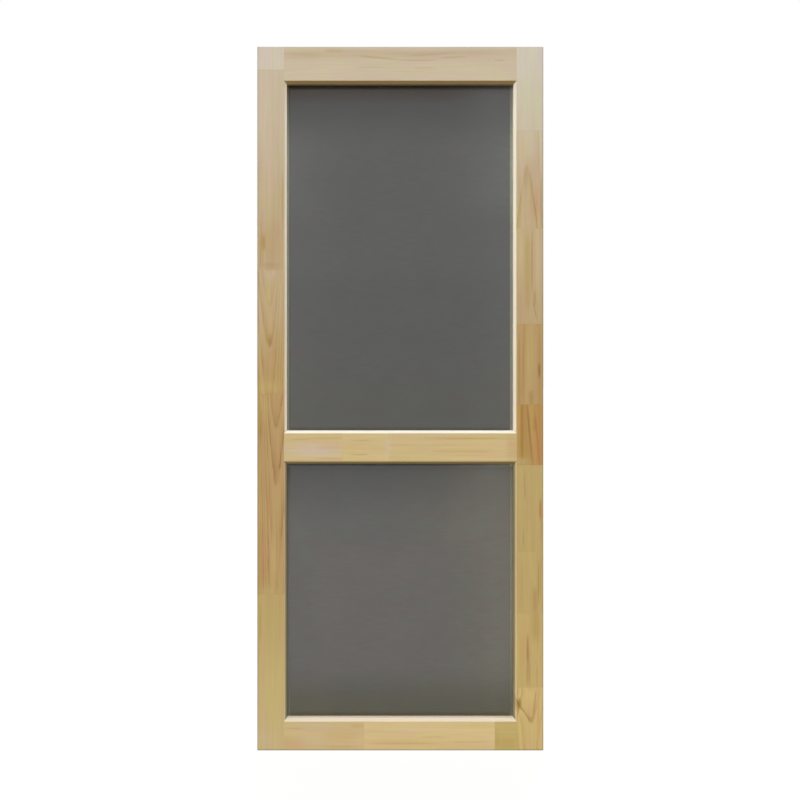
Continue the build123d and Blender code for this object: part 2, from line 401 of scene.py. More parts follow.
GRAINS = {
    "left_stile_block_1": Grain(
        "honey", "wheat", 150, 60,
        streaks=[
            (20, 30, 22, 40, 0.25, "blush"),
            (50, 165, 40, 130, 0.62, "moss"),
            (9, 370, 2.5, 60, 0.50, "olive"),
        ],
    ),
    "left_stile_block_2": Grain(
        "amber", "amber", 53, 59.2, crest=-80, bow=0.44, ring=6.6, uneven=0.0, late=0.82, sway=0.7,
        ripple=2.4, crowd=-0.0011, shade=1.025,
        streaks=[
            (55, 545, 17, 125, 0.95, "amber"),
            (54, 765, 9, 45, 0.40, "amber"),
            (18, 975, 18, 50, 0.40, "moss"),
            (15, 560, 9, 95, 0.28, "rust"),
            (45, 540, 8, 105, 0.40, "moss"),
            (34, 452, 34, 16, 0.60, "wheat"),
            (10, 935, 7, 60, 0.50, "olive"),
            (33, 700, 2.5, 45, 0.45, "olive"),
            (55, 589, 1.6, 80, 0.40, "olive"),
            (70, 654, 1.6, 90, 0.45),
        ],
    ),
    "left_stile_block_3": Grain(
        "amber", "sand", 37, 58.9, crest=-175, bow=0.85, ring=7.3, uneven=0.0, late=1.15,
        tint="olive", sway=0.9, crowd=0.0015, shade=1.01,
        streaks=[
            (38, 1358, 20, 26, 0.85, "sand"),
            (38, 1356, 16, 20, 0.30, "cream"),
            (36, 1030, 45, 28, 0.40, "moss"),
            (37, 1163, 6, 20, 0.40),
            (30, 1287, 11, 32, 0.50, "moss"),
            (37, 1215, 9, 40, 0.35, "moss"),
            (66, 1270, 6, 90, 0.30, "blush"),
            (9, 1200, 5, 110, 0.30, "blush"),
        ],
    ),
    "left_stile_block_4": Grain(
        "sand", "cream", 110, 45, late=0.08, shade=0.985,
        streaks=[
            (44, 1440, 30, 75, 0.22, "rust"),
            (11, 1441, 6.5, 25, 1.00, "russet"),
            (19, 1441, 5, 24, 0.80, "olive"),
            (38, 1377, 36, 9, 0.22),
            (9, 1400, 1.5, 28, 0.60),
            (16, 1395, 1.5, 26, 0.50, "olive"),
            (11, 1480, 1.4, 26, 0.50, "rust"),
            (72, 1560, 3, 90, 0.45, "olive"),
            (8, 1780, 12, 110, 0.40, "blush"),
        ],
    ),
    "left_stile_block_5": Grain("chalk", "chalk", 120, 70, late=0.04, shade=0.97),
    "right_stile_block_1": Grain(
        "straw", "straw", 777, 42.8, crest=-40, bow=3.45, ring=9.6, uneven=0.0, late=0.75, sway=0.8,
        shade=1.10,
        streaks=[
            (779, 164, 15, 26, 0.90, "straw"),
            (800, 142, 7, 34, 0.70, "straw"),
            (760, 106, 3, 27, 0.60, "umber", -0.73),
            (788, 132, 2.8, 45, 0.65, "umber", 0.10),
            (798, 118, 2.2, 50, 0.45, "olive", 0.04),
            (777, 88, 6, 9, 0.40),
            (736, 143, 2.2, 14, 0.90, "umber", -0.57),
            (740, 110, 2, 18, 0.70, "umber", 0.19),
        ],
        knots=[Knot(742.5, 131, 9, -10)],
    ),
    "right_stile_block_2": Grain(
        "wheat", "wheat", 700, 40, shade=1.09,
        streaks=[
            (768, 288, 4, 42, 0.75),
            (770, 240, 5, 60, 0.40),
            (766, 215, 1.5, 32, 0.50),
            (774, 215, 1.5, 32, 0.50),
            (752, 275, 10, 75, 0.55, "russet"),
            (790, 362, 14, 55, 0.40),
            (797, 325, 1.6, 60, 0.50, "olive", 0.025),
            (795, 212, 1.8, 38, 0.50),
        ],
    ),
    "right_stile_block_3": Grain(
        "wheat", "wheat", 690, 70, shade=1.03,
        streaks=[
            (798.5, 478, 2, 60, 0.70),
            (789, 425, 9, 42, 0.50),
            (804, 490, 4, 80, 0.40, "olive"),
            (752, 470, 5, 70, 0.25, "olive"),
        ],
    ),
    "right_stile_block_4": Grain(
        "wheat", "wheat", 660, 60,
        streaks=[
            (804, 686, 3.5, 28, 1.00, "rust"),
            (806, 640, 3, 60, 0.45, "rust"),
            (760, 752, 2, 42, 0.50),
            (756, 602, 1.8, 28, 0.50),
        ],
    ),
    "right_stile_block_5": Grain(
        "russet", "russet", 690, 40, lean=-0.04, ring=8.0, late=0.20, sway=3.0, shade=1.01,
        streaks=[
            (752, 900, 6, 120, 0.85, "olive"),
            (765, 895, 9, 200, 0.25, "umber", -0.08),
            (774, 898, 4, 110, 0.50, "resin", -0.09),
            (798, 900, 12, 260, 0.30, "rust", -0.03),
            (796, 880, 3, 90, 0.28, "resin", -0.09),
            (788, 925, 6, 22, 0.45, "olive"),
            (748, 820, 28, 13, 0.80, "wheat"),
        ],
    ),
    "right_stile_block_6": Grain(
        "amber", "amber", 776, 43.0, crest=120, bow=0.9, ring=6.0, uneven=0.8, sway=1.5,
        streaks=[
            (774, 1110, 15, 150, 0.50, "wheat"),
            (801, 1079, 4, 21, 0.95),
            (802, 1060, 7, 170, 0.45, "olive"),
            (744, 1065, 3.5, 120, 0.60),
            (755, 1105, 5, 150, 0.32, "rust", 0.035),
            (757, 1080, 1.8, 120, 0.40),
            (778, 1000, 8, 24, 0.50),
        ],
    ),
    "right_stile_block_7": Grain(
        "drab", "sand", 776, 46.0, crest=180, bow=1.0, ring=5.0, uneven=0.8, sway=1.5,
        streaks=[
            (781, 1395, 2.8, 95, 0.80, "olive"),
            (768, 1390, 13, 80, 0.42, "olive"),
            (797, 1385, 10, 100, 0.30, "blush"),
            (768, 1292, 10, 42, 0.30, "rust"),
            (788, 1284, 4, 22, 0.70, "olive"),
            (788.5, 1250, 1.8, 26, 0.70, "umber", -0.20),
            (746, 1425, 9, 90, 0.40, "honey"),
        ],
    ),
    "right_stile_block_8": Grain(
        "sand", "cream", 766, 49.3, crest=290, bow=1.6, ring=12.0, uneven=0.0, late=0.70,
        tint="olive", sway=1.2,
        streaks=[
            (806, 1550, 2, 90, 0.50),
            (753, 1708, 11, 30, 0.40, "moss"),
            (772, 1640, 45, 50, 0.20, "olive"),
            (789, 1536, 2.4, 54, 0.55, "rust", -0.145),
            (793, 1558, 11, 46, 0.36, "rust"),
            (745, 1560, 4, 80, 0.30, "olive"),
        ],
    ),
    "right_stile_block_9": Grain(
        "ash", "frost", 700, 60, late=0.04, shade=0.975,
        streaks=[(804, 1790, 6, 60, 0.45, "blush")],
    ),
    "bottom_rail_block_1": Grain(
        "honey", "honey", 140, 30, late=0.12, shade=1.07,
        streaks=[
            (22, 90, 20, 50, 0.30, "rust"),
            (40, 235, 22, 50, 0.18, "rust"),
            (70, 285, 8, 22, 0.25, "rust"),
            (30, 150, 14, 60, 0.30, "blush"),
            (66, 170, 14, 70, 0.30, "blush"),
            (62, 108, 2, 25, 0.40),
            (10, 240, 4, 45, 0.35, "olive"),
        ],
    ),
    "bottom_rail_block_2": Grain(
        "honey", "honey", -20, 30, late=0.15, sway=6.0, shade=1.175,
        streaks=[
            (20, 420, 4, 110, 0.45, "olive"),
            (16, 490, 22, 185, 0.14),
            (24, 600, 2.5, 60, 0.40, "olive"),
            (38, 505, 2, 40, 0.40),
            (60, 420, 8, 90, 0.30, "blush"),
            (72, 620, 8, 45, 0.60, "moss"),
            (72, 360, 9, 35, 0.40, "moss"),
        ],
    ),
    "bottom_rail_block_3": Grain(
        "moss", "moss", 140, 30, late=0.15, shade=1.02,
        streaks=[
            (28, 680, 30, 8, 0.25),
            (26, 712, 15, 28, 0.32, "rust"),
            (10, 712, 7, 28, 0.22),
        ],
    ),
    "mid_rail_block_1": Grain(
        "honey", "honey", 960, 40, late=0.12, shade=1.035,
        streaks=[
            (852, 165, 22, 100, 1.00, "blush"),
            (861, 205, 9, 35, 0.20, "rust"),
            (884, 125, 1.6, 28, 0.50),
            (887, 195, 1.6, 50, 0.40),
            (829, 207, 1.5, 45, 0.45),
        ],
    ),
    "mid_rail_block_2": Grain(
        "honey", "honey", 760, 40, late=0.12, shade=1.07,
        streaks=[
            (892, 322, 2, 40, 0.60, "chalk"),
            (880, 296, 1.8, 28, 0.50, "olive"),
            (840, 291, 1.8, 24, 0.60),
            (850, 262, 16, 20, 0.35, "moss"),
            (862, 374, 36, 11, 0.60, "blush"),
        ],
    ),
    "mid_rail_block_3": Grain(
        "honey", "honey", 960, 40, late=0.12, sway=7.0, shade=1.045,
        streaks=[
            (886, 600, 3.5, 125, 0.55, "olive"),
            (849, 585, 4, 85, 0.45, "olive"),
            (838, 600, 3, 50, 0.15, "rust"),
            (862, 372, 36, 10, 0.60, "blush"),
            (893, 500, 4, 160, 0.35, "blush"),
            (860, 728, 40, 22, 0.30),
        ],
    ),
    "top_rail": Grain(
        "pale", "pale", 2030, 40, ring=7.0, sway=8.0,
        streaks=[
            (1986, 400, 12, 150, 0.40, "blush"),
            (1999, 405, 9, 460, 0.55, "chalk"),
            (1978, 400, 18, 400, 0.32),
            (1974, 130, 13, 55, 0.20),
            (1987, 218, 8, 30, 0.28, "olive"),
            (1967, 346, 3, 62, 0.40, "umber", -0.10),
            (1975, 480, 4, 60, 0.25, "umber", 0.06),
            (1960, 455, 2, 52, 0.65, "olive"),
            (1969, 559, 2.5, 38, 0.35, "umber", 0.05),
            (1960, 689, 1.8, 15, 0.55),
            (1940, 320, 1.3, 40, 0.45),
            (1938, 469, 1.3, 34, 0.45),
            (1927, 440, 1.3, 32, 0.35),
        ],
    ),
}
MOULDING_GRAIN = Grain("honey", "honey", 20, -60, ring=2.6, late=0.30)

# The painted highlight on the inner edges: its tone and how much of it they take, by member. The
# sides of the lower opening take less of it, and those of the upper one lose some at their head.
HIGHLIT_EDGES = {
    "left_stile": ("bevel_highlight", 0.76),
    "right_stile": ("bevel_highlight", 0.88),
    "bottom_rail": ("bottom_rail_highlight", 0.92),
    "mid_rail": ("mid_rail_highlight", 0.95),
}
LOWER_HIGHLIGHT = 0.32
HEAD_LOSS = 0.5

# Where the masks of the inner edges begin and where they are full, in millimetres past the end of a
# member's face: the bevels with a painted highlight, the edges that face down and take painted
# shade, the shaded sides of the lower opening, and along a stile the sides of the upper opening and
# their head
STILE_BEVEL, BOTTOM_BEVEL, MID_BEVEL = (-1.0, 4.0), (-1.8, 0.8), (-1.0, 2.6)
MID_UNDERSIDE_SHADE, TOP_UNDERSIDE_SHADE = (5.0, -0.5), (0.3, -0.3)
SHADED_SIDES = (1.5, 5.0)
UPPER_SIDES, UPPER_HEAD = (-40.0, 20.0), (-112.0, -7.0)

# Where the greyer tone of the outer edges fades out and where it is full, in millimetres in from the
# leaf's sides and up from its foot
OUTER_EDGE_SIDES = (4.5, 1.0)
OUTER_EDGE_FOOT = (5.0, 1.5)


def inner_edges(member, x, z):
    """Three masks of a member's bevels and lips: those with a painted highlight, which begin softly
    at the face, those that face down and take painted shade, and the shaded inner part of the lower
    opening's sides. None stands for a mask that is nowhere."""
    if "stile" in member:
        inward = (x if member == "left_stile" else WIDTH_MM - x) - STILE_FACE
        upper = (z - MID_RAIL_TOP).rise(*UPPER_SIDES)
        head = (z - TOP_RAIL_BOTTOM).rise(*UPPER_HEAD)
        bevel = inward.rise(*STILE_BEVEL) * (upper.span(LOWER_HIGHLIGHT, 1.0) - head * HEAD_LOSS)
        return bevel, None, inward.rise(*SHADED_SIDES) * (1 - upper)
    if member == "bottom_rail":
        return (z - BOTTOM_RAIL_TOP).rise(*BOTTOM_BEVEL), None, None
    if member == "mid_rail":
        return (z - MID_RAIL_TOP).rise(*MID_BEVEL), (z - MID_RAIL_BOTTOM).rise(*MID_UNDERSIDE_SHADE), None
    return None, (z - TOP_RAIL_BOTTOM).rise(*TOP_UNDERSIDE_SHADE), None


def finger_joint(along, place, depth):
    """1 on the glue line of a finger joint. Between the shoulders the line climbs from its place by
    the length of a tooth, along the sloping sides, and stays level on the flat tips."""
    within = depth - FINGER_SHOULDER
    turn = (within / FINGER_PITCH).math("FRACT") * FINGER_PITCH
    middle = FINGER_PITCH / 2 - FINGER_TIP / 2
    slope = FINGER_PITCH / 2 - FINGER_TIP
    tooth = ((middle - abs(turn - middle)) / slope).math("MINIMUM", 1.0).math("MAXIMUM", 0.0)
    body = within.math("GREATER_THAN", 0.0) * within.math("LESS_THAN", FINGERS * FINGER_PITCH)
    return abs(along - place - tooth * body * FINGER_LENGTH).rise(*GLUE_LINE)


# The noises of the pine: the size of their patches along, across and into the wood, in millimetres,
# and what each adds to the board's seed
PINE_NOISES = {
    "sway": (190, 60, 60, 0),
    "ripple": (34, 9, 9, 11),
    "spread": (110, 9, 9, 97),
    "streak": (150, 2.2, 2.2, 23),
    "fibre": (18, 0.5, 0.5, 31),
    "patch": (260, 40, 40, 47),
    "cast": (100, 26, 26, 61),
    "band": (240, 8, 8, 71),
    "dash": (50, 1.3, 1.3, 83),
    "duct": (7, 0.5, 0.5, 53),
}

# Where some of them begin and are full, how far others change the wood's light, and how much short
# dashes and resin ducts darken it
PINE_STEPS = {
    "spread": (0.28, 0.62),
    "cast": (0.34, 0.66),
    "dash": (0.58, 0.72),
    "duct": (0.70, 0.80),
}
PINE_LIGHT = {"streak": 0.10, "fibre": 0.09, "patch": 0.12, "band": 0.16}
DASH_SHADE, DUCT_SHADE = 0.035, 0.06

# The least and the most that a dark ring shows by its year and its place, and a mark by its fibres
YEAR_STRENGTH, RING_STRENGTH, MARK_STRENGTH = (0.6, 1.4), (0.35, 1.1), (0.55, 1.45)

SPELL = 14.0  # millimetres of growth over which the years' width wanders
LATE_POWER, LATE_END = 3.0, 0.88  # how the latewood darkens, and the part of a year where it ends
TONE_WANDER = 0.5  # how far patches shift the change from one end's tone to the other's
MARK_FALL = -1.4  # a mark has faded to the exponent of this at its half widths
FIBRE_HEIGHT = 0.5  # of the fibres, where a dark ring stands 1 high
RELIEF = {"Strength": 0.25, "Distance": 0.0004}
ROUGHNESS, LATE_GLOSS, FIBRE_GLOSS = 0.62, 0.12, 0.1

# A knot in its radii: how far across and along it pushes the rings, how much longer than wide it is,
# where it fades out and is full, how many rings it has in each radius and how strong they are, and
# how far the ripple bends it
KNOT_ACROSS, KNOT_ALONG = 2.0, 2.8
KNOT_STRETCH = 1.9
KNOT_EDGE = (1.5, 0.3)
KNOT_RINGS, KNOT_STRENGTH = 2.4, (0.65, 1.0)
KNOT_RIPPLE = 0.6


def pine(name, growth, upright, foot, length, seed, member=None, joints=()):
    """Pine, cut from a log. The rings are the distance from the bowed pith line,
    r = sqrt(across squared + deep squared) + sway, over the width of a year, and within a year the
    latewood darkens as the cube of the fraction and ends sharply. With u and v the shares of a
    mark's half widths, a streak is exp(-1.4 (u squared + v to the fourth)), a patch the same with
    v squared, and a knot has its own rings round it, 2.4 to each of its radii."""
    wood = bpy.context.scene.door_wood

    def shader(tree):
        x, y, z = object_place(tree)
        along, across = (z, x) if upright else (x, z)
        run = along - foot
        depth = y - FRONT_MM
        wave = noises(tree, (along, across, depth), PINE_NOISES, PINE_STEPS, seed)
        fibre = wave["fibre"] - 0.5

        from_crest = (run - growth.crest) / 100.0
        a = across - growth.across - run * growth.lean
        d = depth - growth.deep + from_crest * from_crest * growth.bow
        sway = (wave["sway"] - 0.5) * (2 * growth.sway)
        ripple = (wave["ripple"] - 0.5) * growth.ripple
        radius = (a * a + d * d) ** 0.5 + sway + ripple
        for knot in growth.knots:
            u = (across - knot.across) / (KNOT_ACROSS * knot.radius)
            v = (along - knot.along) / (KNOT_ALONG * knot.radius)
            radius = radius + ((u * u + v * v) * -1.0).math("EXPONENT") * knot.push
        years = radius / growth.ring
        if growth.uneven:
            spell = {"W": radius / SPELL + seed, "Scale": 1.0, "Detail": 1.0}
            wander = tree.node("ShaderNodeTexNoise", {"noise_dimensions": "1D"}, spell)
            years = years + wander * growth.uneven
        if growth.crowd:
            side = (a * math.copysign(1.0, growth.crowd)).math("MAXIMUM", 0.0)
            years = years + side * side * abs(growth.crowd)
        part = years.math("FRACT")
        year = years.math("FLOOR") + seed
        vigour = tree.node("ShaderNodeTexWhiteNoise", {"noise_dimensions": "1D"}, {"W": year})
        dark_ring = part**LATE_POWER * part.rise(1.0, LATE_END) * vigour.span(*YEAR_STRENGTH)
        dark_ring = dark_ring * wave["spread"].span(*RING_STRENGTH)

        reach = (run / length + (wave["patch"] - 0.5) * TONE_WANDER).rise(0.0, 1.0)
        tone = reach.between(getattr(wood, growth.foot), getattr(wood, growth.head))
        tone = tone.tint(1.0, wave["cast"].between(wood.rosy, wood.sallow))
        late = (dark_ring * growth.late).math("MINIMUM", 1.0)
        tone = tone.tint(late, getattr(wood, growth.tint))
        for values in growth.streaks:
            mark = Streak(*values)
            u = (across + ripple - mark.across - (along - mark.along) * mark.lean) / mark.half_across
            v = (along - mark.along) / mark.half_along
            v = v * v
            tints = mark.tone in TINTS
            inside = ((u * u + (v * v if tints else v)) * MARK_FALL).math("EXPONENT") * mark.strength
            inside = (inside * wave["streak"].span(*MARK_STRENGTH)).math("MINIMUM", 1.0)
            tone = (tone.tint if tints else tone.toward)(inside, getattr(wood, mark.tone))
        for knot in growth.knots:
            u = (across - knot.across) / knot.radius
            v = (along - knot.along) / (KNOT_STRETCH * knot.radius)
            out = (u * u + v * v) ** 0.5 + ripple * KNOT_RIPPLE
            core = out.rise(*KNOT_EDGE) * (out * KNOT_RINGS).math("FRACT").span(*KNOT_STRENGTH)
            tone = tone.tint(core, wood.knot)
        tone = tone.lit(growth.shade)

        if member:
            bevel_highlight, underside_shade, shaded = inner_edges(member, x, z)
            # Painted highlight on the inner bevels and lips
            if bevel_highlight is not None:
                highlight_tone, share = HIGHLIT_EDGES[member]
                tone = tone.toward(bevel_highlight * share, getattr(wood, highlight_tone))
            # Painted shade on the edges that face down
            if underside_shade is not None:
                tone = tone.tint(underside_shade, wood.mid_underside_shade if member == "mid_rail" else wood.top_underside_shade)
            if shaded is not None:
                tone = tone.tint(shaded, wood.shaded)
            # Darker, greyer outer edges
            inward = WIDTH_MM / 2 - abs(x - WIDTH_MM / 2)
            outer = inward.rise(*OUTER_EDGE_SIDES).math("MAXIMUM", z.rise(*OUTER_EDGE_FOOT))
            tone = tone.tint(outer, wood.outer_edge_tint)
        for place in joints:
            tone = tone.tint(finger_joint(along, place, depth), wood.glue)

        specks = wave["duct"] * DUCT_SHADE + wave["dash"] * DASH_SHADE
        light = unevenness(wave, PINE_LIGHT) - specks + 1
        height = fibre * FIBRE_HEIGHT + dark_ring * growth.late
        inputs = {
            "Base Color": tone.lit(light),
            "Roughness": ROUGHNESS - late * LATE_GLOSS + fibre * FIBRE_GLOSS,
            "Normal": tree.node("ShaderNodeBump", None, {"Height": height, **RELIEF}),
            "Specular IOR Level": 0.35,
        }
        return tree.node("ShaderNodeBsdfPrincipled", None, inputs)

    return finished(name, shader)


def finish_wood(node, growth, upright, seed, member=None, joints=()):
    """Gives a solid its own pine, whose grain runs along it."""
    low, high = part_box(node)
    foot, end = (low.z, high.z) if upright else (low.x, high.x)
    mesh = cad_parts[node].data
    mesh.materials.clear()
    mesh.materials.append(
        pine(f"pine_{node}", growth, upright, foot * MM, (end - foot) * MM, seed, member, joints)
    )


# The noises of the cloths: the size of their patches across, up and through, in millimetres, and
# their seed, where one of them begins and is full, and how far others change the light
CLOTH_NOISES = {
    "slub": (42, 3, 1, 5),
    "cloud": (110, 150, 1, 9),
    "blot": (40, 16, 1, 19),
    "cast": (75, 50, 1, 29),
}
CLOTH_STEPS = {"cast": (0.35, 0.65)}
CLOTH_LIGHT = {"cloud": 0.20, "slub": 0.36, "blot": 0.20}
# The cloths' painted light towards their sides
SIDE_POWER = 4.0  # how the light of a cloth grows towards its sides

# The rim of a cloth, in millimetres from the edge of its open part: how far its end and right parts
# fade either way, where the left part starts and over how much it fades
RIM_FADE = 0.4
LEFT_RIM = {"upper": -1.9, "lower": 0.3}
LEFT_RIM_FADE = 0.6

# How far the painted shade of a cloth's head reaches down and that of its foot up, between which
# depths the upper one's painted brown shadow and the lower one's painted light on its top moulding
# grow, and over which height the tone of the lower one's right rim does, in millimetres, and the
# share that this rim has at the foot
HEAD_RUN = 180.0
FOOT_RUN = {"upper": 350.0, "lower": 150.0}
HEAD_SHADOW_RUN = (50.0, 10.0)
PAINTED_HEAD_LIGHT_RUN = (5.5, -4.0)
RIGHT_RIM_RUN, RIGHT_RIM_FOOT = 300.0, 0.5
UPPER_DUST = 0.3  # of the lower cloth's

# The right part of both cloths, where it begins and is full in half widths from their middle, and
# how much of the head's painted shade it loses, and where the lower one takes the tone of its right
RIGHT_PART, RIGHT_LOSS = (0.3, 0.9), 0.55
LOWER_RIGHT = (-0.3, 0.9)

# Bands across the cloths, in millimetres up the leaf as band() takes them: the upper one has painted
# light on its right and left, given in half widths and with their strength, and painted shade below
# that, and the lower one is warm across its middle, which lies a little to the left
PAINTED_LIGHT_BAND = (1480, 1600, 1690, 1830)
PAINTED_SIDE_LIGHTS = {(0.2, 0.9): 0.30, (-0.5, -0.9): 0.15}
DUSK_BAND, DUSK_SHADE = (1060, 1190, 1300, 1400), 0.13
BELT_BAND, BELT_MIDDLE, BELT_ENDS = (150, 230, 530, 610), -0.1, (0.9, 0.4)


def head_shadow_mask(x, z, low, high):
    """1 at the head of a screen that is open from low to high, where a brown shadow is painted, and
    0 below and on the right.
    """
    rightward = (x - (low.x + high.x) / 2 * MM) / ((high.x - low.x) / 2 * MM)
    return (high.z * MM - z).rise(*HEAD_SHADOW_RUN) * (1 - rightward.rise(*RIGHT_PART))


def cloth(part, settings, low, high):
    """The haze of a screen, whose open part runs from low to high: charcoal that hides most of what
    lies behind it, and less of the mouldings, which lie against it along its rim. Its charcoal is
    partly painted shade, the dark seen through the mesh. It has painted light towards its sides by
    the fourth power of the distance from the middle, and painted shade at its head, but less on the
    right, and at its foot. Short level slubs run through it, and its rim on the side mouldings has
    a lighter tone: their wood seen through, with painted light on it. The upper one has a painted
    brown shadow at its head, painted light at its sides below that and painted shade halfway up.
    The lower one is lighter and warmer across its middle and on its right, where its rim pales
    towards the head, has painted light where it lies on its top moulding, and is dusty at its foot."""
    upper = part == "upper"
    names = ("side_cover", "painted_side_light", "head_shade", "foot_shade")
    values = (getattr(settings, name if upper else f"lower_{name}") for name in names)
    side_cover, painted_side_light, head_shade, foot_shade = values

    def shader(tree):
        x, y, z = object_place(tree)
        wave = noises(tree, (x, z, y), CLOTH_NOISES, CLOTH_STEPS)
        half_width, half_height = (high.x - low.x) / 2 * MM, (high.z - low.z) / 2 * MM
        out, above = x - (low.x + high.x) / 2 * MM, z - (low.z + high.z) / 2 * MM
        rightward, below_head, over_foot = out / half_width, half_height - above, half_height + above
        right = out.rise(half_width - RIM_FADE, half_width + RIM_FADE)
        left_start = LEFT_RIM[part] - half_width
        left = out.rise(left_start, left_start - LEFT_RIM_FADE)
        ends = abs(above).rise(half_height - RIM_FADE, half_height + RIM_FADE)
        cover = settings.haze_cover - ends * (settings.haze_cover - settings.end_cover)
        cover = cover - (right + left) * (cover - side_cover)
        # Painted light towards the sides, and unevenness
        light = abs(rightward) ** SIDE_POWER * painted_side_light + unevenness(wave, CLOTH_LIGHT) + 1
        # Painted shade at the head, less on the right, and at the foot
        head = below_head.rise(HEAD_RUN, 0.0) * (1 - rightward.rise(*RIGHT_PART) * RIGHT_LOSS)
        foot = over_foot.rise(FOOT_RUN[part], 0.0)
        light = light * (1 - head * head_shade) * (1 - foot * foot_shade)
        if upper:
            tone = (foot * UPPER_DUST).between(settings.upper_haze, settings.dust)
            # Painted brown shadow at the head
            tone = tone.tint(head_shadow_mask(x, z, low, high), settings.head_shadow_tint)
            # Mouldings' wood seen through the rim, with painted light
            tone = tone.toward(right + left, settings.lit_rim)
            # Painted light at the sides in a band, and painted shade below it
            glow = sum(rightward.rise(*ends) * strength for ends, strength in PAINTED_SIDE_LIGHTS.items())
            light = light * (glow * band(z, *PAINTED_LIGHT_BAND) - band(z, *DUSK_BAND) * DUSK_SHADE + 1)
        else:
            tone = rightward.rise(*LOWER_RIGHT).between(settings.lower_haze, settings.right_haze)
            belt = band(z, *BELT_BAND) * abs(rightward - BELT_MIDDLE).rise(*BELT_ENDS)
            tone = tone.toward(belt, settings.belt).toward(foot, settings.dust)
            # Mouldings' wood seen through the rims, with painted light
            right = right * over_foot.rise(0.0, RIGHT_RIM_RUN).span(RIGHT_RIM_FOOT, 1.0)
            tone = tone.toward(left, settings.lit_left_rim).toward(right, settings.lit_right_rim)
            # Painted light where it lies on its top moulding
            light = light * (below_head.rise(*PAINTED_HEAD_LIGHT_RUN) * settings.painted_head_light + 1)
        tone = tone.tint(1.0, wave["cast"].between(settings.warm, settings.cool))
        inputs = {
            "Base Color": tone.lit(light),
            "Roughness": 0.75,
            "Specular IOR Level": 0.2,
            "Alpha": cover,
        }
        return tree.node("ShaderNodeBsdfPrincipled", None, inputs)

    return finished(f"{part}_haze", shader)


def plain(name, tone, roughness, metallic=0.0, head_shadow_tint=None):
    """One finish, up to a tenth darker in patches of 2 mm. Its last argument holds a tint of painted
    shadow for a screen's head, and the low and high corners of its open part."""

    def shader(tree):
        x, y, z = object_place(tree)
        uneven = noise(tree, (x, y, z), (2.0, 2.0, 2.0), 3.0)
        base = uneven.between(tuple(0.9 * c for c in tone), tone)
        # Painted shadow at a screen's head
        if head_shadow_tint:
            tint, low, high = head_shadow_tint
            base = base.tint(head_shadow_mask(x, z, low, high), tint)
        inputs = {
            "Base Color": base,
            "Roughness": roughness,
            "Metallic": metallic,
            "Specular IOR Level": 0.3,
        }
        return tree.node("ShaderNodeBsdfPrincipled", None, inputs)

    return finished(name, shader)


def new_piece(name, points, faces, material, slot=None):
    """A mesh object at the origin from its points and faces. One with a slot rides on the leaf."""
    mesh = bpy.data.meshes.new(name)
    mesh.from_pydata(points.tolist(), [], faces)
    mesh.materials.append(material)
    made = bpy.data.objects.new(name, mesh)
    bpy.context.scene.collection.objects.link(made)
    if slot:
        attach(made, BODY)
    return made


def rectangle(low, high, level, axis):
    """The four corners of a rectangle that is square to an axis, at a level on it."""
    u, v = [i for i in range(3) if i != axis]
    points = np.full((4, 3), level, float)
    points[:, u] = [low[u], high[u], high[u], low[u]]
    points[:, v] = [low[v], low[v], high[v], high[v]]
    return points


def bars(starts, ends, up, width):
    """Square bars from starts to ends. A bar's four corners lie at start or end plus
    (i * side + j * up) * width / 2 with i and j each 1 or -1, where side is square to both."""
    run = ends - starts
    run = run / np.linalg.norm(run, axis=1, keepdims=True)
    side = np.cross(run, up)
    ring = np.array([[-1, -1], [1, -1], [1, 1], [-1, 1]]) * width / 2
    offset = ring[None, :, 0:1] * side[:, None] + ring[None, :, 1:2] * up
    points = np.stack([starts[:, None] + offset, ends[:, None] + offset], axis=1).reshape(-1, 3)
    corner = np.arange(4)
    after = (corner + 1) % 4
    walls = np.stack([corner, after, after + 4, corner + 4], axis=1)
    one = np.concatenate([walls, [[3, 2, 1, 0], [4, 5, 6, 7]]])
    faces = (one[None] + 8 * np.arange(len(starts))[:, None, None]).reshape(-1, 4)
    return points, faces


def weave(low, high, middle, settings):
    """Upright and level strands at their pitch, from edge to edge of a screen."""
    x = np.arange(low.x + settings.warp_pitch / 2, high.x, settings.warp_pitch)
    z = np.arange(low.z + settings.weft_pitch / 2, high.z, settings.weft_pitch)
    depth = np.array([0.0, 1.0, 0.0])

    def line(across, along):
        across, along = np.broadcast_arrays(across, along)
        return np.stack([across, np.full(across.shape, middle), along], axis=1)

    warp, warp_faces = bars(line(x, low.z), line(x, high.z), depth, settings.strand)
    weft, weft_faces = bars(line(low.x, z), line(high.x, z), depth, settings.strand)
    faces = np.concatenate([warp_faces, weft_faces + len(warp)])
    return np.concatenate([warp, weft]), faces.tolist()


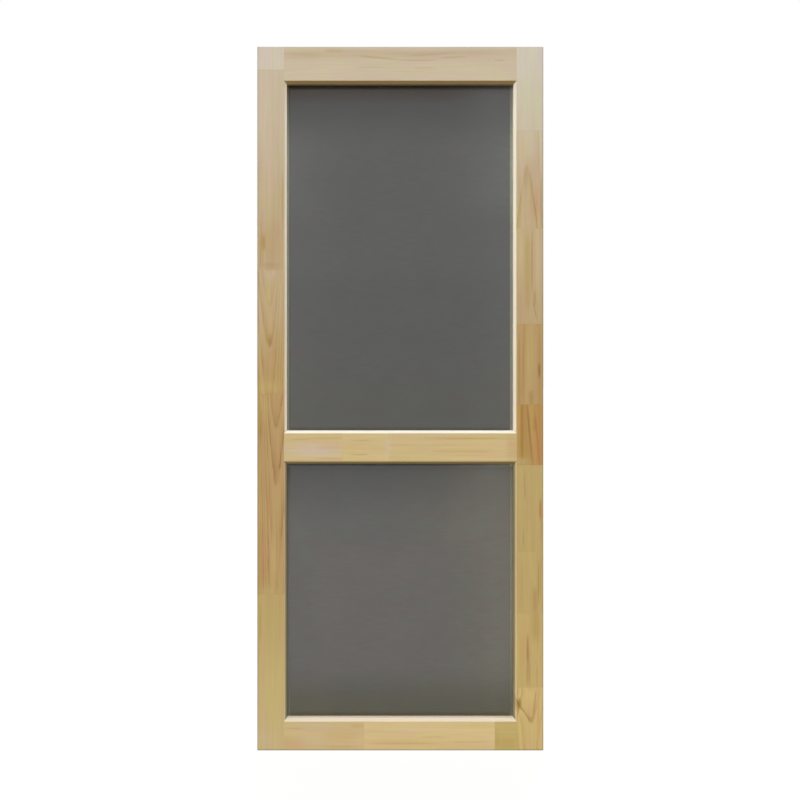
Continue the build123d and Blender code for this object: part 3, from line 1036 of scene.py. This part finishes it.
def domes(centres, radius, rise, rings=4, around=14):
    """Round heads that face +Y. At polar angle t a ring's radius is radius * sin t and its height is
    rise * cos t. A point closes the top, and another closes the foot inside the wood."""
    t = np.linspace(math.pi / 2, 0, rings + 1)[:-1]
    s = np.arange(around) * 2 * math.pi / around
    x = radius * np.sin(t)[:, None] * np.cos(s)
    z = radius * np.sin(t)[:, None] * np.sin(s)
    y = np.broadcast_to(rise * np.cos(t)[:, None], x.shape)
    shell = np.stack([x, y, z], axis=2).reshape(-1, 3)
    head = np.concatenate([shell, [[0, rise, 0], [0, -rise, 0]]])
    j = np.arange(around)
    k = (j + 1) % around
    base = np.arange(rings - 1)[:, None] * around
    walls = [base + j, base + around + j, base + around + k, base + k]
    walls = np.stack(walls, axis=2).reshape(-1, 4)
    last = (rings - 1) * around
    top = np.stack([last + j, np.full(around, last + around), last + k], axis=1)
    foot = np.stack([j, k, np.full(around, last + around + 1)], axis=1)
    shift = len(head) * np.arange(len(centres))[:, None, None]
    points = (centres[:, None] + head[None]).reshape(-1, 3)
    faces = (walls[None] + shift).reshape(-1, 4).tolist()
    for fan in (top, foot):
        faces += (fan[None] + shift).reshape(-1, 3).tolist()
    return points, faces


def pin_places(part, pins):
    """Where the pins of one opening's mouldings stand, evenly spaced from near each one's ends."""
    places = []
    for side in SIDES:
        low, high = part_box(f"{part}_moulding_{side}")
        along, across = (2, 0) if side in ("left", "right") else (0, 2)
        start, end = low[along] + pins.corner, high[along] - pins.corner
        count = int(round((end - start) / pins.spacing)) + 1
        outer = low[across] + pins.inset if side in ("left", "bottom") else high[across] - pins.inset
        spots = np.full((count, 3), high.y)
        spots[:, along] = np.linspace(start, end, count)
        spots[:, across] = outer
        places.append(spots)
    return np.concatenate(places)


def blocks_of(member):
    """A member's nodes from its foot or left end, each with the finger joints that it meets."""
    axis = 2 if "stile" in member else 0
    nodes = [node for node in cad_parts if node.startswith(member)]
    nodes.sort(key=lambda node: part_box(node)[0][axis])
    joints = [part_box(node)[0][axis] * MM for node in nodes[1:]]
    return [(node, joints[max(0, i - 1):i + 1]) for i, node in enumerate(nodes)]


class DOOR_OT_frame_wood(bpy.types.Operator):
    """Finish the blocks of the stiles and rails in pine"""

    bl_idname = "screen_door.frame_wood"
    bl_label = "Finish the stiles and rails"

    def execute(self, context):
        seed = 1
        for member in MEMBERS:
            for node, joints in blocks_of(member):
                finish_wood(node, GRAINS[node], "stile" in member, seed, member, joints)
                seed += SEED_STEP
        return {"FINISHED"}


class DOOR_OT_moulding_wood(bpy.types.Operator):
    """Finish the mouldings behind the screens in pine"""

    bl_idname = "screen_door.moulding_wood"
    bl_label = "Finish the mouldings"

    def execute(self, context):
        nodes = sorted(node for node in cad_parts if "moulding" in node)
        for i, node in enumerate(nodes):
            upright = node.endswith(("left", "right"))
            finish_wood(node, MOULDING_GRAIN, upright, MOULDING_SEED + SEED_STEP * i)
        return {"FINISHED"}


class DOOR_OT_screens(bpy.types.Operator):
    """Weave the two screens"""

    bl_idname = "screen_door.screens"
    bl_label = "Weave the screens"

    def execute(self, context):
        settings = context.scene.door_screens
        for part in PARTS:
            low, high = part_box(f"{part}_screen")
            middle = (low.y + high.y) / 2
            sides = {side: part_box(f"{part}_moulding_{side}") for side in SIDES}
            open_low = Vector((sides["left"][1].x, 0, sides["bottom"][1].z))
            open_high = Vector((sides["right"][0].x, 0, sides["top"][0].z))

            points, faces = weave(low, high, middle, settings)
            # The upper strands take the painted head shadow too
            head_shadow_tint = (settings.strand_head_shadow, open_low, open_high) if part == "upper" else None
            strands = plain(f"{part}_strands", tuple(settings.strand_tone), 0.55, head_shadow_tint=head_shadow_tint)
            mesh = new_piece(f"{part}_screen_strands", points, faces, strands, "screen_cloth")
            haze = new_piece(
                f"{part}_screen_cloth",
                rectangle(low, high, middle, 1),
                [[0, 1, 2, 3]],
                cloth(part, settings, open_low, open_high),
                "screen_cloth",
            )
            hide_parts(f"{part}_screen")
        return {"FINISHED"}


class DOOR_OT_pins(bpy.types.Operator):
    """Drive the pins into the mouldings"""

    bl_idname = "screen_door.pins"
    bl_label = "Drive the pins"

    def execute(self, context):
        pins = context.scene.door_pins
        steel = plain("pin_steel", tuple(pins.steel), 0.38, metallic=1.0)
        for part in PARTS:
            points, faces = domes(pin_places(part, pins), pins.head / 2, pins.rise)
            heads = new_piece(f"{part}_moulding_pins", points, faces, steel, "pin_steel")
            heads.data.shade_smooth()
        return {"FINISHED"}


class DOOR_OT_stage(bpy.types.Operator):
    """Set the camera, the lamps, the floor and the backdrop"""

    bl_idname = "screen_door.stage"
    bl_label = "Set the stage"

    def execute(self, context):
        scene = context.scene
        stage = scene.door_stage
        scene.view_settings.view_transform = "Standard"

        data = bpy.data.cameras.new("camera")
        data.lens = data.sensor_width * stage.distance / (PHOTO_SIDE * PIXEL)
        data.shift_x = (PHOTO_SIDE / 2 - EYE_X_PX) / PHOTO_SIDE
        data.shift_y = (EYE_Y_PX - PHOTO_SIDE / 2) / PHOTO_SIDE
        camera = bpy.data.objects.new("camera", data)
        camera.location = (
            CAD_LOW.x + (EYE_X_PX - LEAF_LEFT_PX) * PIXEL,
            CAD_LOW.y - stage.distance,
            CAD_LOW.z + (LEAF_BOTTOM_PX - EYE_Y_PX) * PIXEL,
        )
        camera.rotation_euler = (math.pi / 2, 0, 0)
        scene.collection.objects.link(camera)
        scene.camera = camera

        for name, strength, direction, softness in (
            ("top_lamp", stage.top_lamp, (0.05, 0.60, -0.80), 0.75),
            ("left_lamp", stage.left_lamp, (0.97, 0.17, -0.12), 0.5),
            ("right_lamp", stage.right_lamp, (-0.97, 0.17, -0.12), 0.5),
            ("back_lamp", stage.back_lamp, (-0.10, -0.82, -0.57), 0.7),
        ):
            lamp = bpy.data.lights.new(name, "SUN")
            lamp.energy, lamp.angle = strength, softness
            made = bpy.data.objects.new(name, lamp)
            made.rotation_mode = "QUATERNION"
            made.rotation_quaternion = Vector(direction).to_track_quat("-Z", "Y")
            scene.collection.objects.link(made)

        world = bpy.data.worlds.new("studio")
        world.use_nodes = True
        world.node_tree.nodes.clear()
        tree = Wire(world.node_tree)
        strength = seen_ray(tree) * (1 - stage.ambient) + stage.ambient
        back = tree.node("ShaderNodeBackground", None, {"Color": (1, 1, 1, 1), "Strength": strength})
        tree.node("ShaderNodeOutputWorld", None, {"Surface": back})
        scene.world = world

        def floor_shader(tree):
            seen = seen_ray(tree)
            tone = seen.between(stage.floor_bounce, stage.floor_tone)
            matt = tree.node("ShaderNodeBsdfDiffuse", None, {"Color": tone})
            glow = tree.node("ShaderNodeEmission", None, {"Color": (1, 1, 1, 1), "Strength": 1.0})
            shaders = {0: seen * stage.floor_glow, 1: matt, 2: glow}
            return tree.node("ShaderNodeMixShader", None, shaders)

        reach = Vector((FLOOR_REACH, FLOOR_REACH, 0))
        finish = finished("floor", floor_shader)
        floor = new_piece("floor", rectangle(-reach, reach, 0, 2), [[0, 1, 2, 3]], finish)
        return {"FINISHED"}


def seen_ray(tree):
    """1 for what the camera sees, straight or mirrored or through glass, and 0 for plain light."""
    kinds = ("Camera", "Glossy", "Transmission")
    rays = [tree.node("ShaderNodeLightPath", None, None, out=f"Is {kind} Ray") for kind in kinds]
    return (rays[0] + rays[1] + rays[2]).math("MINIMUM", 1.0)


class DOOR_PT_panel(bpy.types.Panel):
    """Shows the buttons and the settings of the screen door"""

    bl_label = "Screen door"
    bl_idname = "DOOR_PT_panel"
    bl_space_type = "VIEW_3D"
    bl_region_type = "UI"
    bl_category = "Screen door"

    def draw(self, context):
        for operator in OPERATORS:
            self.layout.operator(operator.bl_idname)
        for name, group in SETTINGS.items():
            box = self.layout.box()
            for value in group.__annotations__:
                box.prop(getattr(context.scene, name), value)


OPERATORS = (DOOR_OT_stage, DOOR_OT_frame_wood, DOOR_OT_moulding_wood, DOOR_OT_screens, DOOR_OT_pins)


def register():
    """Makes the settings, the operators and the panel known."""
    for kind in (*SETTINGS.values(), *OPERATORS, DOOR_PT_panel):
        bpy.utils.register_class(kind)
    for name, group in SETTINGS.items():
        setattr(bpy.types.Scene, name, bpy.props.PointerProperty(type=group))


def unregister():
    """Takes them away again."""
    for name in SETTINGS:
        delattr(bpy.types.Scene, name)
    for kind in (DOOR_PT_panel, *OPERATORS, *SETTINGS.values()):
        bpy.utils.unregister_class(kind)


def main():
    """Dresses the leaf piece by piece."""
    register()
    bpy.ops.screen_door.stage()
    bpy.ops.screen_door.frame_wood()
    bpy.ops.screen_door.moulding_wood()
    bpy.ops.screen_door.screens()
    bpy.ops.screen_door.pins()


if __name__ == "__main__":
    main()
